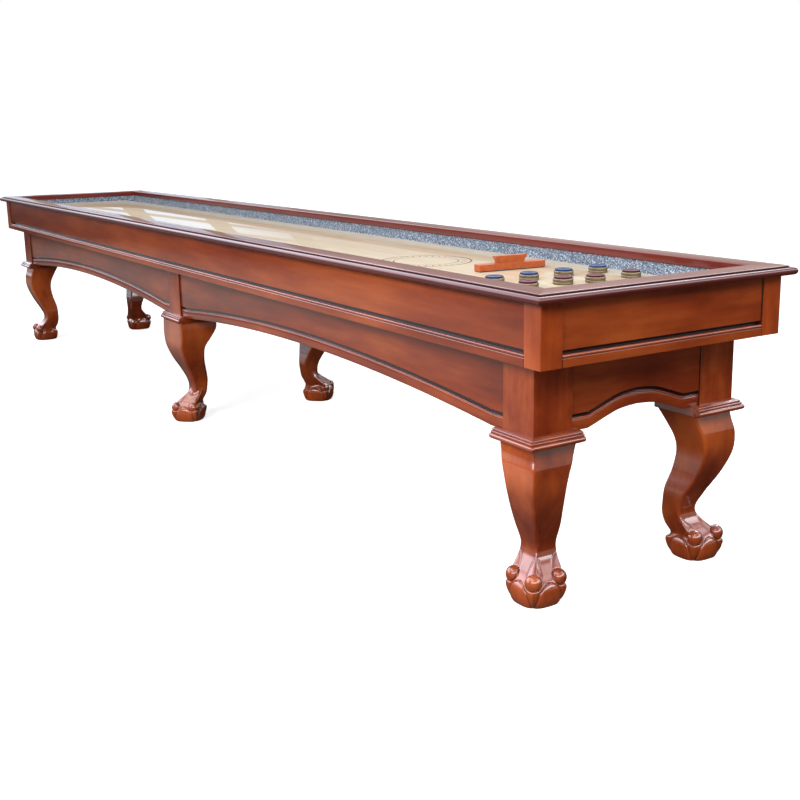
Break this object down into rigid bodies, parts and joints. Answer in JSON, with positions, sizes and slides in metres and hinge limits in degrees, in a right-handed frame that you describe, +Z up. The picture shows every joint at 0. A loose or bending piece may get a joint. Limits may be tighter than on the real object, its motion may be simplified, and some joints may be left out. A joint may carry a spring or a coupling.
{
  "type": "shuffleboard table",
  "caption": "Long wooden shuffleboard table with a carpeted gutter, raised maple playfield, cabriole legs on ball-and-claw feet, sliding pucks and a sweep.",
  "frame": {"origin": "on the floor under the middle of the table", "axes": "+Z up; +X along the length towards the end where the pucks wait; -Y towards the front side"},
  "size_m": [4.877, 0.845, 0.8075],
  "materials": {
    "rail_wood": "gloss lacquered stain",
    "cabinet_wood": "lacquered stain",
    "leg_wood": "lacquered stain",
    "inner_board": "bare board",
    "maple": "high gloss polymer",
    "carpet": "short pile",
    "steel": "zinc plated",
    "puck_metal": "antique brushed",
    "cap_blue": "gloss",
    "cap_red": "gloss",
    "sweep_orange": "gloss paint",
    "felt": "pressed felt"
  },
  "bodies": {
    "table": {"rail_front": "rail_wood", "rail_back": "rail_wood", "rail_near": "rail_wood", "rail_far": "rail_wood", "post_near_front": "cabinet_wood", "post_near_back": "cabinet_wood", "post_far_front": "cabinet_wood", "post_far_back": "cabinet_wood", "panel_front": "cabinet_wood", "panel_back": "cabinet_wood", "panel_near": "cabinet_wood", "panel_far": "cabinet_wood", "band_front": "cabinet_wood", "band_back": "cabinet_wood", "band_near": "cabinet_wood", "band_far": "cabinet_wood", "cabinet_floor": "inner_board", "bearers": "inner_board", "playfield": "maple", "gutter_carpet": "carpet", "adjuster_brackets": "steel", "leg_blocks": "leg_wood", "corner_collars": "leg_wood", "middle_collars": "leg_wood", "leg_near_front": "leg_wood", "leg_near_back": "leg_wood", "leg_middle_front": "leg_wood", "leg_middle_back": "leg_wood", "leg_far_front": "leg_wood", "leg_far_back": "leg_wood", "apron_near": "leg_wood", "apron_far": "leg_wood", "apron_front_near": "leg_wood", "apron_front_far": "leg_wood", "apron_back_near": "leg_wood", "apron_back_far": "leg_wood", "leg_bolts": "steel", "block_screws": "steel"},
    "blue_puck_1": {"puck_blue_1": "puck_metal", "cap_blue_1": "cap_blue"},
    "blue_puck_2": {"puck_blue_2": "puck_metal", "cap_blue_2": "cap_blue"},
    "blue_puck_3": {"puck_blue_3": "puck_metal", "cap_blue_3": "cap_blue"},
    "blue_puck_4": {"puck_blue_4": "puck_metal", "cap_blue_4": "cap_blue"},
    "red_puck_1": {"puck_red_1": "puck_metal", "cap_red_1": "cap_red"},
    "red_puck_2": {"puck_red_2": "puck_metal", "cap_red_2": "cap_red"},
    "red_puck_3": {"puck_red_3": "puck_metal", "cap_red_3": "cap_red"},
    "red_puck_4": {"puck_red_4": "puck_metal", "cap_red_4": "cap_red"},
    "sweep": {"sweep_bar": "sweep_orange", "sweep_handle": "sweep_orange", "sweep_felt": "felt"},
    "adjuster_near": {"adjuster_rod_near": "steel"},
    "adjuster_middle": {"adjuster_rod_middle": "steel"},
    "adjuster_far": {"adjuster_rod_far": "steel"}
  },
  "joints": [
    {"name": "blue_puck_1_slide", "type": "slide", "parent": "table", "child": "blue_puck_1", "axis": [1, 0, 0], "range_m": [-4.15, 0.062]},
    {"name": "blue_puck_2_slide", "type": "slide", "parent": "table", "child": "blue_puck_2", "axis": [1, 0, 0], "range_m": [-0.14, 0.062]},
    {"name": "blue_puck_3_slide", "type": "slide", "parent": "table", "child": "blue_puck_3", "axis": [1, 0, 0], "range_m": [-0.14, 0.062]},
    {"name": "blue_puck_4_slide", "type": "slide", "parent": "table", "child": "blue_puck_4", "axis": [1, 0, 0], "range_m": [-4.15, 0.062]},
    {"name": "red_puck_1_slide", "type": "slide", "parent": "table", "child": "red_puck_1", "axis": [1, 0, 0], "range_m": [-0.062, 0.135]},
    {"name": "red_puck_2_slide", "type": "slide", "parent": "table", "child": "red_puck_2", "axis": [1, 0, 0], "range_m": [-0.062, 0.144]},
    {"name": "red_puck_3_slide", "type": "slide", "parent": "table", "child": "red_puck_3", "axis": [1, 0, 0], "range_m": [-0.062, 0.118]},
    {"name": "red_puck_4_slide", "type": "slide", "parent": "table", "child": "red_puck_4", "axis": [1, 0, 0], "range_m": [-0.062, 0.129]},
    {"name": "sweep_slide", "type": "slide", "parent": "table", "child": "sweep", "axis": [1, 0, 0], "range_m": [-3.95, 0]},
    {"name": "adjuster_near_turn", "type": "hinge", "parent": "table", "child": "adjuster_near", "pos_m": [1.68, 0, 0.6715], "axis": [0, 1, 0], "range_deg": [-180, 180]},
    {"name": "adjuster_middle_turn", "type": "hinge", "parent": "table", "child": "adjuster_middle", "pos_m": [0, 0, 0.6715], "axis": [0, 1, 0], "range_deg": [-180, 180]},
    {"name": "adjuster_far_turn", "type": "hinge", "parent": "table", "child": "adjuster_far", "pos_m": [-1.68, 0, 0.6715], "axis": [0, 1, 0], "range_deg": [-180, 180]}
  ]
}
